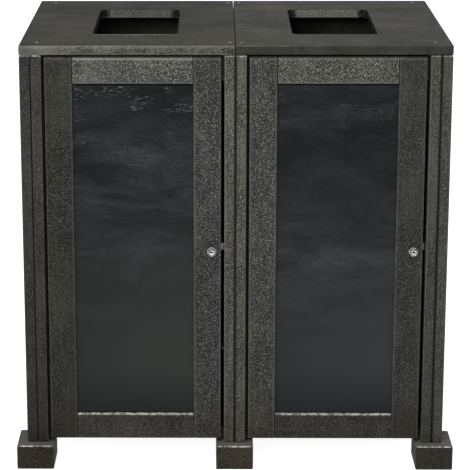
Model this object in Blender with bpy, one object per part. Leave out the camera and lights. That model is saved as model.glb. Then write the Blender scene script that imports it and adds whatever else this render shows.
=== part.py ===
"""Two-stream recycling station: a pair of cabinets in recycled-plastic lumber, each with a drop hole in its
top, a framed door on a continuous hinge, a cam lock and a lift-out liner.

Metres, +Z up, front towards -Y. The origin is on the floor, under the middle of the station.
"""

import math

import bmesh
import bpy

# Overall sizes, taken over the two tops
STATION_WIDTH = 1.000
STATION_HEIGHT = 1.030
TOP_DEPTH = 0.640

# Shared fits: pieces that touch, cutters that run past a face
SEAT_GAP = 0.0003
OVERRUN = 0.004
CURVE_STEPS = 6
ARRIS_STEPS = 2
SHARP_EDGE = math.radians(35)

# Top panels
TOP_THICKNESS = 0.022
TOP_SEAM = 0.0012
TOP_SIDE_OVERHANG = 0.001
TOP_CORNER_RADIUS = 0.004
TOP_ARRIS = 0.002

# Drop holes
HOLE_WIDTH = 0.2015
HOLE_LENGTH = 0.352
HOLE_SETBACK = 0.150
HOLE_CORNER_RADIUS = 0.018

# Side boards: outer ends and cabinet walls, whose front edges stand proud of the tops
BOARD = 0.0254
BOARD_ARRIS = 0.003
BOARD_PROUD = 0.006

# Feet
FOOT_WIDTH = 0.089
FOOT_DEPTH = 0.106
FOOT_HEIGHT = 0.0605
FOOT_PROJECTION = 0.024
FOOT_ARRIS = 0.0035

# Panels inside the cabinets
FLOOR_THICKNESS = 0.0254
BACK_THICKNESS = 0.019
HEAD_RAIL_HEIGHT = 0.0635
HEAD_RAIL_THICKNESS = 0.0254
PANEL_ARRIS = 0.0015

# Screws through the tops into the walls
SCREW_FRONT_SETBACK = 0.045
SCREW_REAR_SETBACK = 0.033
SCREW_LENGTH = 0.050
SCREW_HEAD_RADIUS = 0.0046
SCREW_HEAD_RIM = 0.0005
SCREW_CONE_DEPTH = 0.0026
SCREW_SHANK_RADIUS = 0.0021
SCREW_POINT_LENGTH = 0.006
SCREW_POINT_RADIUS = 0.0006
SCREW_SINK = 0.0004
SCREW_SIDES = 12

# Doors
DOOR_THICKNESS = 0.0254
HINGE_SIDE_GAP = 0.0065
LOCK_SIDE_GAP = 0.008
DOOR_HEAD_GAP = 0.003
DOOR_FOOT_GAP = 0.0105
DOOR_STOP_GAP = 0.0015
STILE_WIDTH = 0.0635
TOP_RAIL_HEIGHT = 0.063
BOTTOM_RAIL_HEIGHT = 0.062
DOOR_ARRIS = 0.0025

# Window sheet and backing board in the door's rebate
PANEL_RECESS = 0.010
REBATE_WIDTH = 0.010
WINDOW_THICKNESS = 0.003
BACKING_THICKNESS = 0.009

# Continuous hinges
HINGE_AXIS_INSET = 0.0015
HINGE_END_MARGIN = 0.010
KNUCKLE_COUNT = 11
KNUCKLE_SIDE_GAP = 0.0005
KNUCKLE_END_GAP = 0.0005
KNUCKLE_BORE_RADIUS = 0.0015
PIN_RADIUS = 0.0012
LEAF_THICKNESS = 0.0012
LEAF_WIDTH = 0.0185
BARREL_SIDES = 12

# Cam locks
LOCK_HEIGHT = 0.540
LOCK_BACKSET = 0.0215
FLANGE_RADIUS = 0.0108
FLANGE_THICKNESS = 0.0016
COLLAR_RADIUS = 0.0098
COLLAR_LENGTH = 0.0085
COLLAR_CHAMFER = 0.0012
LOCK_BARREL_RADIUS = 0.0092
LOCK_TAIL = 0.0005
NUT_THICKNESS = 0.004
NUT_ACROSS_FLATS = 0.0235
PLUG_RADIUS = 0.0068
PLUG_RUNNING_GAP = 0.0004
PLUG_RECESS = 0.0012
KEYWAY_LENGTH = 0.0084
KEYWAY_WIDTH = 0.0017
KEYWAY_DEPTH = 0.005
STUB_RADIUS = 0.0032
CAM_THICKNESS = 0.003
CAM_HALF_WIDTH = 0.008
CAM_WALL_GAP = 0.0015
LOCK_SIDES = 24

# Keepers on the walls
KEEPER_PLATE = 0.002
KEEPER_HEIGHT = 0.0165
KEEPER_DEPTH = 0.028
KEEPER_RISE = 0.005
KEEPER_CAM_GAP = 0.001
KEEPER_NUT_GAP = 0.002

# Liners
LINER_SIDE_ROOM = 0.026
LINER_END_ROOM = 0.035
LINER_HEAD_ROOM = 0.126
LINER_WALL = 0.003
LINER_TAPER = 0.010
LINER_RIM_WIDTH = 0.010
LINER_RIM_DEPTH = 0.018
LINER_CORNER_RADIUS = 0.026
LINER_FOOT_RADIUS = 0.012

# Planes and lines that the pieces share
top_depth_half = TOP_DEPTH / 2
body_depth = TOP_DEPTH + BOARD_PROUD
front_y = -body_depth / 2
back_y = body_depth / 2
top_front_y = back_y - TOP_DEPTH
end_x = STATION_WIDTH / 2 - TOP_SIDE_OVERHANG
outer_wall_x = end_x - BOARD - SEAT_GAP
outer_bay_x = outer_wall_x - BOARD
inner_wall_x = SEAT_GAP / 2
inner_bay_x = inner_wall_x + BOARD
under_top_z = STATION_HEIGHT - TOP_THICKNESS
board_low_z = FOOT_HEIGHT + SEAT_GAP
board_high_z = under_top_z - SEAT_GAP
door_back_y = front_y + DOOR_THICKNESS
stop_y = door_back_y + DOOR_STOP_GAP
back_panel_y = back_y - BACK_THICKNESS
floor_top_z = board_low_z + FLOOR_THICKNESS
door_low_z = FOOT_HEIGHT + DOOR_FOOT_GAP
door_high_z = under_top_z - DOOR_HEAD_GAP

# Lock planes, from the door's back face
barrel_end_y = door_back_y + SEAT_GAP + NUT_THICKNESS + LOCK_TAIL
cam_front_y = barrel_end_y + SEAT_GAP
keeper_back_y = cam_front_y - KEEPER_CAM_GAP

FINISHES = {
    # name: (red, green, blue, roughness, metallic), linear
    "sheet": (0.072, 0.072, 0.064, 0.60, 0.0),
    "lumber": (0.060, 0.058, 0.050, 0.70, 0.0),
    "foot_lumber": (0.040, 0.035, 0.028, 0.75, 0.0),
    "window": (0.026, 0.028, 0.031, 0.15, 0.0),
    "backing": (0.020, 0.020, 0.020, 0.60, 0.0),
    "liner": (0.045, 0.045, 0.045, 0.50, 0.0),
    "hinge_steel": (0.010, 0.010, 0.009, 0.45, 0.6),
    "chrome": (0.60, 0.60, 0.60, 0.15, 1.0),
    "zinc": (0.42, 0.42, 0.40, 0.35, 1.0),
}


def finish_material(finish):
    """Principled material for one finish, made the first time that it is asked for."""
    found = bpy.data.materials.get(finish)
    if found:
        return found
    red, green, blue, roughness, metallic = FINISHES[finish]
    made = bpy.data.materials.new(finish)
    made.use_nodes = True
    shader = made.node_tree.nodes["Principled BSDF"]
    shader.inputs["Base Color"].default_value = (red, green, blue, 1)
    shader.inputs["Roughness"].default_value = roughness
    shader.inputs["Metallic"].default_value = metallic
    return made


def add_object(name, bm, finish, place=(0, 0, 0)):
    """Turns a bmesh into a named object at its place."""
    bmesh.ops.recalc_face_normals(bm, faces=bm.faces)
    mesh = bpy.data.meshes.new(name)
    bm.to_mesh(mesh)
    bm.free()
    mesh.materials.append(finish_material(finish))
    thing = bpy.data.objects.new(name, mesh)
    thing.location = place
    bpy.context.scene.collection.objects.link(thing)
    return thing


def block(name, low, high, finish, arris=0):
    """Box between two corners, with eased edges where an arris is given."""
    size = [far - near for near, far in zip(low, high)]
    bm = bmesh.new()
    bmesh.ops.create_cube(bm, size=1)
    bmesh.ops.scale(bm, vec=size, verts=bm.verts)
    thing = add_object(name, bm, finish, [(near + far) / 2 for near, far in zip(low, high)])
    if arris:
        easing = thing.modifiers.new("arris", "BEVEL")
        easing.width = arris
        easing.segments = ARRIS_STEPS
        easing.limit_method = "NONE"
    return thing


def loft(name, loops, finish, place=(0, 0, 0), ring=False):
    """Skins loops of points in turn, and caps both ends or, for a ring, joins the last loop to the first."""
    bm = bmesh.new()
    rows = [[bm.verts.new(point) for point in loop] for loop in loops]
    pairs = list(zip(rows, rows[1:]))
    if ring:
        pairs.append((rows[-1], rows[0]))
    for row, following in pairs:
        for i, corner in enumerate(row):
            j = (i + 1) % len(row)
            bm.faces.new((corner, row[j], following[j], following[i]))
    if not ring:
        bm.faces.new(rows[0])
        bm.faces.new(rows[-1])
    return add_object(name, bm, finish, place)


def circle(radius, z, sides):
    """Loop of points round local Z."""
    turns = [2 * math.pi * i / sides for i in range(sides)]
    return [(radius * math.cos(turn), radius * math.sin(turn), z) for turn in turns]


def turned(name, profile, sides, finish, place=(0, 0, 0), ring=False, lengthwise=False):
    """Turned piece from (radius, z) pairs. Lengthwise pieces have local Z along world +Y."""
    thing = loft(name, [circle(radius, z, sides) for radius, z in profile], finish, place, ring)
    if lengthwise:
        thing.rotation_euler = (-math.pi / 2, 0, 0)
    return thing


def rounded_rectangle(half_x, half_y, radius, centre, z):
    """Loop of points round a rectangle whose corners are quarter circles."""
    points = []
    for quarter, (side_x, side_y) in enumerate(((1, 1), (-1, 1), (-1, -1), (1, -1))):
        for step in range(CURVE_STEPS + 1):
            turn = (quarter + step / CURVE_STEPS) * math.pi / 2
            x = centre[0] + side_x * (half_x - radius) + radius * math.cos(turn)
            y = centre[1] + side_y * (half_y - radius) + radius * math.sin(turn)
            points.append((x, y, z))
    return points


def easing_steps(arris):
    """(inset, rise) pairs of a rounded edge, from the side face to the top face."""
    turns = [step / ARRIS_STEPS * math.pi / 2 for step in range(ARRIS_STEPS + 1)]
    return [(arris - arris * math.cos(turn), arris * math.sin(turn)) for turn in turns]


def bake_modifiers(thing):
    """Replaces a piece's mesh by what its modifiers make of it."""
    bpy.context.view_layer.update()
    depsgraph = bpy.context.evaluated_depsgraph_get()
    mesh = bpy.data.meshes.new_from_object(thing.evaluated_get(depsgraph))
    old = thing.data
    thing.modifiers.clear()
    thing.data = mesh
    bpy.data.meshes.remove(old)
    mesh.name = thing.name


def combine(thing, tool, operation):
    """Joins a tool to a piece, or cuts it out of the piece."""
    step = thing.modifiers.new(operation.lower(), "BOOLEAN")
    step.operation = operation
    step.solver = "EXACT"
    step.object = tool
    bake_modifiers(thing)


def cut(things, tool):
    """Cuts one tool out of each piece, then removes the tool."""
    for thing in things:
        combine(thing, tool, "DIFFERENCE")
    bpy.data.objects.remove(tool)


def smooth(thing):
    """Shades round faces smooth and keeps real edges sharp."""
    thing.data.shade_smooth()
    thing.data.set_sharp_from_angle(angle=SHARP_EDGE)


def hang(things, carrier):
    """Parents pieces to a joint's empty without moving them."""
    for thing in things:
        thing.parent = carrier
        thing.location = thing.location - carrier.matrix_world.translation


def joint_empty(name, place, carrier=None):
    """Empty on a joint's axis."""
    empty = bpy.data.objects.new(name, None)
    empty.location = place
    bpy.context.scene.collection.objects.link(empty)
    bpy.context.view_layer.update()
    if carrier:
        hang([empty], carrier)
        bpy.context.view_layer.update()
    return empty


def top_panel(side, low_x, high_x, hole_x):
    """Sheet top with a rounded drop hole through it and eased edges."""
    half_x = (high_x - low_x) / 2
    centre = ((low_x + high_x) / 2, back_y - top_depth_half)
    hole_centre = (hole_x, top_front_y + HOLE_SETBACK + HOLE_LENGTH / 2)
    steps = easing_steps(TOP_ARRIS)

    def outer(inset, z):
        radius = TOP_CORNER_RADIUS - inset
        return rounded_rectangle(half_x - inset, top_depth_half - inset, radius, centre, z)

    def hole(inset, z):
        radius = HOLE_CORNER_RADIUS + inset
        return rounded_rectangle(HOLE_WIDTH / 2 + inset, HOLE_LENGTH / 2 + inset, radius, hole_centre, z)

    low_arris_z = under_top_z + TOP_ARRIS
    high_arris_z = STATION_HEIGHT - TOP_ARRIS
    loops = [outer(inset, low_arris_z - rise) for inset, rise in reversed(steps)]
    loops += [outer(inset, high_arris_z + rise) for inset, rise in steps]
    loops += [hole(inset, high_arris_z + rise) for inset, rise in reversed(steps)]
    loops += [hole(inset, low_arris_z - rise) for inset, rise in steps]
    return loft(f"{side}_top_panel", loops, "sheet", ring=True)


def side_board(name, low_x, high_x):
    """Upright board, the full depth of the body, from the feet to the top."""
    low = (low_x, front_y, board_low_z)
    high = (high_x, back_y, board_high_z)
    return block(name, low, high, "lumber", BOARD_ARRIS)


def feet():
    """Six blocks that stand proud at the front, the back and the two ends."""
    outer = end_x + FOOT_PROJECTION
    rows = {"front": front_y - FOOT_PROJECTION, "rear": back_y + FOOT_PROJECTION - FOOT_DEPTH}
    places = {"left": -outer, "centre": -FOOT_WIDTH / 2, "right": outer - FOOT_WIDTH}
    for row, low_y in rows.items():
        for place, low_x in places.items():
            high = (low_x + FOOT_WIDTH, low_y + FOOT_DEPTH, FOOT_HEIGHT)
            block(f"{row}_{place}_foot", (low_x, low_y, 0), high, "foot_lumber", FOOT_ARRIS)


def inner_panels(side, low_x, high_x):
    """Floor panel, back panel and head rail between a cabinet's walls."""
    low_x += SEAT_GAP
    high_x -= SEAT_GAP
    floor_low = (low_x, stop_y, board_low_z)
    floor_high = (high_x, back_panel_y - SEAT_GAP, floor_top_z)
    block(f"{side}_floor_panel", floor_low, floor_high, "sheet", PANEL_ARRIS)
    back_low = (low_x, back_panel_y, board_low_z)
    back_high = (high_x, back_y, board_high_z)
    block(f"{side}_back_panel", back_low, back_high, "sheet", PANEL_ARRIS)
    rail_low = (low_x, stop_y, board_high_z - HEAD_RAIL_HEIGHT)
    rail_high = (high_x, stop_y + HEAD_RAIL_THICKNESS, board_high_z)
    block(f"{side}_head_rail", rail_low, rail_high, "lumber", PANEL_ARRIS)


def liner(side, low_x, high_x):
    """Rigid tapered liner with a turned-out rim, standing on the floor panel."""
    half_x = (high_x - low_x) / 2 - LINER_SIDE_ROOM
    half_y = (back_panel_y - stop_y) / 2 - LINER_END_ROOM
    centre = ((low_x + high_x) / 2, (back_panel_y + stop_y) / 2)
    foot_z = floor_top_z + SEAT_GAP
    rim_z = under_top_z - LINER_HEAD_ROOM
    under_rim_z = rim_z - LINER_RIM_DEPTH
    base_inset = LINER_RIM_WIDTH + LINER_TAPER
    rim_radius = LINER_CORNER_RADIUS + LINER_RIM_WIDTH
    inner_radius = LINER_CORNER_RADIUS - LINER_WALL
    # (inset from the rim's edge, height, corner radius), up the outside, over the rim and down the inside
    outline = [
        (base_inset + LINER_FOOT_RADIUS, foot_z, LINER_CORNER_RADIUS - LINER_FOOT_RADIUS),
        (base_inset, foot_z + LINER_FOOT_RADIUS, LINER_CORNER_RADIUS),
        (LINER_RIM_WIDTH, rim_z - LINER_WALL, LINER_CORNER_RADIUS),
        (LINER_WALL, rim_z - LINER_WALL, rim_radius - LINER_WALL),
        (LINER_WALL, under_rim_z, rim_radius - LINER_WALL),
        (0, under_rim_z, rim_radius),
        (0, rim_z, rim_radius),
        (LINER_RIM_WIDTH + LINER_WALL, rim_z, inner_radius),
        (base_inset + LINER_WALL, foot_z + LINER_FOOT_RADIUS, inner_radius),
        (base_inset + LINER_WALL + LINER_FOOT_RADIUS, foot_z + LINER_WALL, inner_radius - LINER_FOOT_RADIUS),
    ]
    loops = []
    for inset, z, radius in outline:
        loops.append(rounded_rectangle(half_x - inset, half_y - inset, radius, centre, z))
    smooth(loft(f"{side}_liner", loops, "liner"))


def top_screws(side, top, walls):
    """Countersunk screws through a top into its walls' top edges, front and rear."""
    cone_z = -SCREW_HEAD_RIM - SCREW_CONE_DEPTH
    profile = [
        (SCREW_HEAD_RADIUS, 0),
        (SCREW_HEAD_RADIUS, -SCREW_HEAD_RIM),
        (SCREW_SHANK_RADIUS, cone_z),
        (SCREW_SHANK_RADIUS, SCREW_POINT_LENGTH - SCREW_LENGTH),
        (SCREW_POINT_RADIUS, -SCREW_LENGTH),
    ]
    hole_profile = [
        (SCREW_HEAD_RADIUS + SEAT_GAP, OVERRUN),
        (SCREW_HEAD_RADIUS + SEAT_GAP, -SCREW_HEAD_RIM - SEAT_GAP),
        (SCREW_SHANK_RADIUS + SEAT_GAP, cone_z - SEAT_GAP),
        (SCREW_SHANK_RADIUS + SEAT_GAP, -SCREW_LENGTH - SEAT_GAP),
    ]
    rows = {"front": top_front_y + SCREW_FRONT_SETBACK, "rear": back_y - SCREW_REAR_SETBACK}
    head_z = STATION_HEIGHT - SCREW_SINK
    for wall_name, (wall, wall_x) in walls.items():
        for row, y in rows.items():
            place = (wall_x, y, head_z)
            cut([top, wall], turned("screw_hole", hole_profile, SCREW_SIDES, "zinc", place))
            smooth(turned(f"{side}_top_screw_{row}_{wall_name}", profile, SCREW_SIDES, "zinc", place))


def door_frame(side, low_x, high_x):
    """Two full-height stiles with a rail between them at the top and the bottom, rebated at the back."""
    opening_low_x = low_x + STILE_WIDTH
    opening_high_x = high_x - STILE_WIDTH
    opening_low_z = door_low_z + BOTTOM_RAIL_HEIGHT
    opening_high_z = door_high_z - TOP_RAIL_HEIGHT
    rail_low_x = opening_low_x + SEAT_GAP
    rail_high_x = opening_high_x - SEAT_GAP
    boxes = {
        "hinge_stile": ((low_x, front_y, door_low_z), (opening_low_x, door_back_y, door_high_z)),
        "lock_stile": ((opening_high_x, front_y, door_low_z), (high_x, door_back_y, door_high_z)),
        "top_rail": ((rail_low_x, front_y, opening_high_z), (rail_high_x, door_back_y, door_high_z)),
        "bottom_rail": ((rail_low_x, front_y, door_low_z), (rail_high_x, door_back_y, opening_low_z)),
    }
    members = {
        part: block(f"{side}_door_{part}", low, high, "lumber", DOOR_ARRIS)
        for part, (low, high) in boxes.items()
    }
    rebate_low = (opening_low_x - REBATE_WIDTH, front_y + PANEL_RECESS, opening_low_z - REBATE_WIDTH)
    rebate_high = (opening_high_x + REBATE_WIDTH, door_back_y + OVERRUN, opening_high_z + REBATE_WIDTH)
    cut(members.values(), block("rebate", rebate_low, rebate_high, "lumber"))

    window_y = front_y + PANEL_RECESS + SEAT_GAP
    backing_y = window_y + WINDOW_THICKNESS + SEAT_GAP
    low_corner = (rebate_low[0] + SEAT_GAP, rebate_low[2] + SEAT_GAP)
    high_corner = (rebate_high[0] - SEAT_GAP, rebate_high[2] - SEAT_GAP)
    sheets = {
        "window": (window_y, WINDOW_THICKNESS, "window"),
        "backing_board": (backing_y, BACKING_THICKNESS, "backing"),
    }
    panels = []
    for part, (y, thickness, finish) in sheets.items():
        low = (low_corner[0], y, low_corner[1])
        high = (high_corner[0], y + thickness, high_corner[1])
        panels.append(block(f"{side}_door_{part}", low, high, finish))
    return members, panels


def hinge_leaf(name, plate_x, axis_x, keeps_even):
    """Leaf of a continuous hinge: a plate whose front edge carries every other knuckle."""
    axis_y = front_y + HINGE_AXIS_INSET
    low_z = door_low_z + HINGE_END_MARGIN
    high_z = door_high_z - HINGE_END_MARGIN
    knuckle_radius = HINGE_SIDE_GAP / 2 - KNUCKLE_SIDE_GAP
    pitch = (high_z - low_z) / KNUCKLE_COUNT
    plate_high = (plate_x + LEAF_THICKNESS, axis_y + LEAF_WIDTH, high_z)
    leaf = block(name, (plate_x, axis_y, low_z), plate_high, "hinge_steel")
    barrel_profile = [(knuckle_radius, low_z), (knuckle_radius, high_z)]
    barrel = turned("barrel", barrel_profile, BARREL_SIDES, "hinge_steel", (axis_x, axis_y, 0))
    combine(leaf, barrel, "UNION")
    bpy.data.objects.remove(barrel)
    bore_profile = [(KNUCKLE_BORE_RADIUS, low_z - OVERRUN), (KNUCKLE_BORE_RADIUS, high_z + OVERRUN)]
    cut([leaf], turned("bore", bore_profile, BARREL_SIDES, "hinge_steel", (axis_x, axis_y, 0)))

    reach = HINGE_SIDE_GAP / 2
    for i in range(KNUCKLE_COUNT):
        if (i % 2 == 0) == keeps_even:
            continue
        below = OVERRUN if i == 0 else KNUCKLE_END_GAP / 2
        above = OVERRUN if i == KNUCKLE_COUNT - 1 else KNUCKLE_END_GAP / 2
        low = (axis_x - reach, axis_y - reach, low_z + i * pitch - below)
        high = (axis_x + reach, axis_y + reach, low_z + (i + 1) * pitch + above)
        cut([leaf], block("notch", low, high, "hinge_steel"))
    smooth(leaf)
    return leaf


def hinge_pin(side, axis_x):
    """Plain pin through every knuckle."""
    profile = [(PIN_RADIUS, door_low_z + HINGE_END_MARGIN), (PIN_RADIUS, door_high_z - HINGE_END_MARGIN)]
    place = (axis_x, front_y + HINGE_AXIS_INSET, 0)
    smooth(turned(f"{side}_hinge_pin", profile, BARREL_SIDES, "hinge_steel", place))


def hexagon(across_flats, z):
    """Loop of points round a hexagon, as many as a lock's circles have."""
    points = []
    for x, y, height in circle(1, z, LOCK_SIDES):
        turn = math.atan2(y, x) % (math.pi / 3) - math.pi / 6
        reach = across_flats / 2 / math.cos(turn)
        points.append((x * reach, y * reach, height))
    return points


def lock_body(side, lock_x, stile):
    """Housing through the lock stile, with its flange and collar in front and its nut behind."""
    place = (lock_x, front_y, LOCK_HEIGHT)
    bore = PLUG_RADIUS + PLUG_RUNNING_GAP
    flange_front = -SEAT_GAP - FLANGE_THICKNESS
    collar_front = flange_front - COLLAR_LENGTH
    tail = barrel_end_y - front_y
    outline = [
        (bore, collar_front),
        (COLLAR_RADIUS - COLLAR_CHAMFER, collar_front),
        (COLLAR_RADIUS, collar_front + COLLAR_CHAMFER),
        (COLLAR_RADIUS, flange_front),
        (FLANGE_RADIUS, flange_front),
        (FLANGE_RADIUS, -SEAT_GAP),
        (LOCK_BARREL_RADIUS, -SEAT_GAP),
        (LOCK_BARREL_RADIUS, tail),
        (bore, tail),
    ]
    name = f"{side}_lock_housing"
    housing = turned(name, outline, LOCK_SIDES, "chrome", place, ring=True, lengthwise=True)
    smooth(housing)
    clear = LOCK_BARREL_RADIUS + SEAT_GAP
    through = [(clear, -OVERRUN), (clear, DOOR_THICKNESS + OVERRUN)]
    cut([stile], turned("lock_hole", through, LOCK_SIDES, "lumber", place, lengthwise=True))

    near = DOOR_THICKNESS + SEAT_GAP
    far = near + NUT_THICKNESS
    loops = [hexagon(NUT_ACROSS_FLATS, near), hexagon(NUT_ACROSS_FLATS, far)]
    loops += [circle(clear, far, LOCK_SIDES), circle(clear, near, LOCK_SIDES)]
    nut = loft(f"{side}_lock_nut", loops, "zinc", place, ring=True)
    nut.rotation_euler = (-math.pi / 2, 0, 0)
    return [housing, nut]


def lock_plug(side, lock_x):
    """Plug with a keyway in front and a stub behind that the cam is riveted on."""
    place = (lock_x, front_y, LOCK_HEIGHT)
    face = -SEAT_GAP - FLANGE_THICKNESS - COLLAR_LENGTH + PLUG_RECESS
    tail = barrel_end_y - front_y
    stub_end = cam_front_y + CAM_THICKNESS - front_y
    profile = [(PLUG_RADIUS, face), (PLUG_RADIUS, tail), (STUB_RADIUS, tail), (STUB_RADIUS, stub_end)]
    plug = turned(f"{side}_lock_plug", profile, LOCK_SIDES, "chrome", place, lengthwise=True)
    slot_low = (lock_x - KEYWAY_LENGTH / 2, front_y + face - OVERRUN, LOCK_HEIGHT - KEYWAY_WIDTH / 2)
    slot_high = (lock_x + KEYWAY_LENGTH / 2, front_y + face + KEYWAY_DEPTH, LOCK_HEIGHT + KEYWAY_WIDTH / 2)
    cut([plug], block("keyway", slot_low, slot_high, "chrome"))
    smooth(plug)
    return plug


def lock_cam(side, lock_x, reach):
    """Flat cam with round ends, hanging down when unlocked. Local +Y is world -Z."""
    near = cam_front_y - front_y
    far = near + CAM_THICKNESS
    half_turn = LOCK_SIDES // 2
    outline = []
    for x, y, z in circle(CAM_HALF_WIDTH, near, LOCK_SIDES)[: half_turn + 1]:
        outline.append((x, y + reach - CAM_HALF_WIDTH, z))
    for x, y, z in circle(CAM_HALF_WIDTH, near, LOCK_SIDES)[half_turn:]:
        outline.append((x, y, z))
    outline.append((CAM_HALF_WIDTH, 0, near))
    loops = [outline, [(x, y, far) for x, y, z in outline]]
    cam = loft(f"{side}_lock_cam", loops, "zinc", (lock_x, front_y, LOCK_HEIGHT))
    cam.rotation_euler = (-math.pi / 2, 0, 0)
    eye = [(STUB_RADIUS + SEAT_GAP, near - OVERRUN), (STUB_RADIUS + SEAT_GAP, far + OVERRUN)]
    cut([cam], turned("cam_eye", eye, LOCK_SIDES, "zinc", (lock_x, front_y, LOCK_HEIGHT), lengthwise=True))
    return cam


def keeper(side, wall_x, reach):
    """Angle on the wall: one leg on the wall, the other behind the door for the cam to turn behind."""
    face_x = wall_x - SEAT_GAP
    low_z = LOCK_HEIGHT + KEEPER_RISE - KEEPER_HEIGHT / 2
    high_z = low_z + KEEPER_HEIGHT
    front = keeper_back_y - KEEPER_PLATE
    back = front + KEEPER_DEPTH
    angle = block(f"{side}_keeper", (face_x - reach, front, low_z), (face_x, back, high_z), "zinc")
    hollow_low = (face_x - reach - OVERRUN, keeper_back_y, low_z - OVERRUN)
    hollow_high = (face_x - KEEPER_PLATE, back + OVERRUN, high_z + OVERRUN)
    cut([angle], block("hollow", hollow_low, hollow_high, "zinc"))


def cabinet(side, low_x, high_x, walls):
    """Everything that belongs to one cabinet, between the inner faces of its walls."""
    top_low_x = -STATION_WIDTH / 2 if side == "left" else TOP_SEAM / 2
    top_high_x = -TOP_SEAM / 2 if side == "left" else STATION_WIDTH / 2
    top = top_panel(side, top_low_x, top_high_x, (low_x + high_x) / 2)
    top_screws(side, top, walls)
    inner_panels(side, low_x, high_x)
    liner(side, low_x, high_x)

    door_low_x = low_x + HINGE_SIDE_GAP
    door_high_x = high_x - LOCK_SIDE_GAP
    axis_x = low_x + HINGE_SIDE_GAP / 2
    members, panels = door_frame(side, door_low_x, door_high_x)
    door_plate_x = door_low_x - SEAT_GAP - LEAF_THICKNESS
    hinge_leaf(f"{side}_wall_hinge_leaf", low_x + SEAT_GAP, axis_x, keeps_even=True)
    door_leaf = hinge_leaf(f"{side}_door_hinge_leaf", door_plate_x, axis_x, keeps_even=False)
    hinge_pin(side, axis_x)

    lock_x = door_high_x - LOCK_BACKSET
    wall_distance = high_x - lock_x
    nut_reach = NUT_ACROSS_FLATS / 2 / math.cos(math.pi / 6)
    keeper(side, high_x, wall_distance - nut_reach - KEEPER_NUT_GAP)
    lock_pieces = lock_body(side, lock_x, members["lock_stile"])
    plug = lock_plug(side, lock_x)
    cam = lock_cam(side, lock_x, wall_distance - SEAT_GAP - KEEPER_PLATE - CAM_WALL_GAP)

    door_axis = joint_empty(f"{side}_door_axis", (axis_x, front_y + HINGE_AXIS_INSET, 0))
    lock_axis = joint_empty(f"{side}_lock_axis", (lock_x, front_y, LOCK_HEIGHT), door_axis)
    hang([*members.values(), *panels, door_leaf, *lock_pieces], door_axis)
    hang([plug, cam], lock_axis)


def build():
    """Builds the whole station."""
    for thing in list(bpy.data.objects):
        bpy.data.objects.remove(thing)
    side_board("left_end_panel", -end_x, BOARD - end_x)
    side_board("right_end_panel", end_x - BOARD, end_x)
    feet()
    left_outer = side_board("left_outer_wall", -outer_wall_x, -outer_bay_x)
    left_inner = side_board("left_inner_wall", -inner_bay_x, -inner_wall_x)
    right_inner = side_board("right_inner_wall", inner_wall_x, inner_bay_x)
    right_outer = side_board("right_outer_wall", outer_bay_x, outer_wall_x)
    outer_x = (outer_wall_x + outer_bay_x) / 2
    inner_x = (inner_wall_x + inner_bay_x) / 2
    left_walls = {"outer": (left_outer, -outer_x), "inner": (left_inner, -inner_x)}
    right_walls = {"inner": (right_inner, inner_x), "outer": (right_outer, outer_x)}
    cabinet("left", -outer_bay_x, -inner_bay_x, left_walls)
    cabinet("right", inner_bay_x, outer_bay_x, right_walls)


build()
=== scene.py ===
import math

import bmesh
import bpy
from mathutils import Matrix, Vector


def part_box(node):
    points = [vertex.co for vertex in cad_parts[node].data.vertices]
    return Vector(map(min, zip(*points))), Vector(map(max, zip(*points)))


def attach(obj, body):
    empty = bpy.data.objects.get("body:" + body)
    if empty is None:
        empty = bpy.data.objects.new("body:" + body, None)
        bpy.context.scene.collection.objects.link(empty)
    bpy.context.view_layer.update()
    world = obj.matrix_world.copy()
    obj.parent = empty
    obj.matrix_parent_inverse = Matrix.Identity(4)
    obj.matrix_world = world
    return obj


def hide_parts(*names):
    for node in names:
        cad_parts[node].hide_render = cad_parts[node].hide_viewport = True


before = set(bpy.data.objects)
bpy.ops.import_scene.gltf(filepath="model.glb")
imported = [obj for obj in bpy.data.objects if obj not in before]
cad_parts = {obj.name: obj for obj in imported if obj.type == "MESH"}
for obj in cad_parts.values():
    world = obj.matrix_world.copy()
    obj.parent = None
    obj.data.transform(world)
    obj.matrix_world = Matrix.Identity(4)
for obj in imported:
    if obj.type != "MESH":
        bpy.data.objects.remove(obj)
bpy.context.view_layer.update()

# Feet: six square blocks of recycled-plastic lumber, cut from a browner batch than the boards.
# They stand proud at the front, the back and the ends, and the walls are screwed down to them.


def linear(colour, gain=1.0):
    """Linear red, green, blue and alpha of an sRGB hex colour, with its light times a gain."""
    channels = [int(colour[i:i + 2], 16) / 255 for i in (1, 3, 5)]
    return [gain * (c / 12.92 if c <= 0.04045 else ((c + 0.055) / 1.055) ** 2.4) for c in channels] + [1.0]


def add(tree, kind, inputs=None, stops=(), **options):
    """Adds a node with its settings and links. A shader node goes by its bare kind.

    Inputs take values, sockets, or nodes, whose first live output is linked. Stops are a ramp's.
    """
    made = tree.nodes.new(kind if "Node" in kind else f"ShaderNode{kind}")
    for option, value in options.items():
        setattr(made, option, value)
    for i, (position, colour) in enumerate(stops):
        stop = made.color_ramp.elements[i] if i < 2 else made.color_ramp.elements.new(position)
        stop.position = position
        stop.color = colour
    for socket, value in (inputs or {}).items():
        if isinstance(value, bpy.types.Node):
            value = next(output for output in value.outputs if output.enabled)
        if isinstance(value, bpy.types.NodeSocket):
            tree.links.new(value, made.inputs[socket])
        else:
            made.inputs[socket].default_value = value
    return made


def new_finish(name):
    """Empty material with its node tree."""
    finish = bpy.data.materials.new(name)
    finish.use_nodes = True
    finish.node_tree.nodes.clear()
    return finish, finish.node_tree


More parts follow.
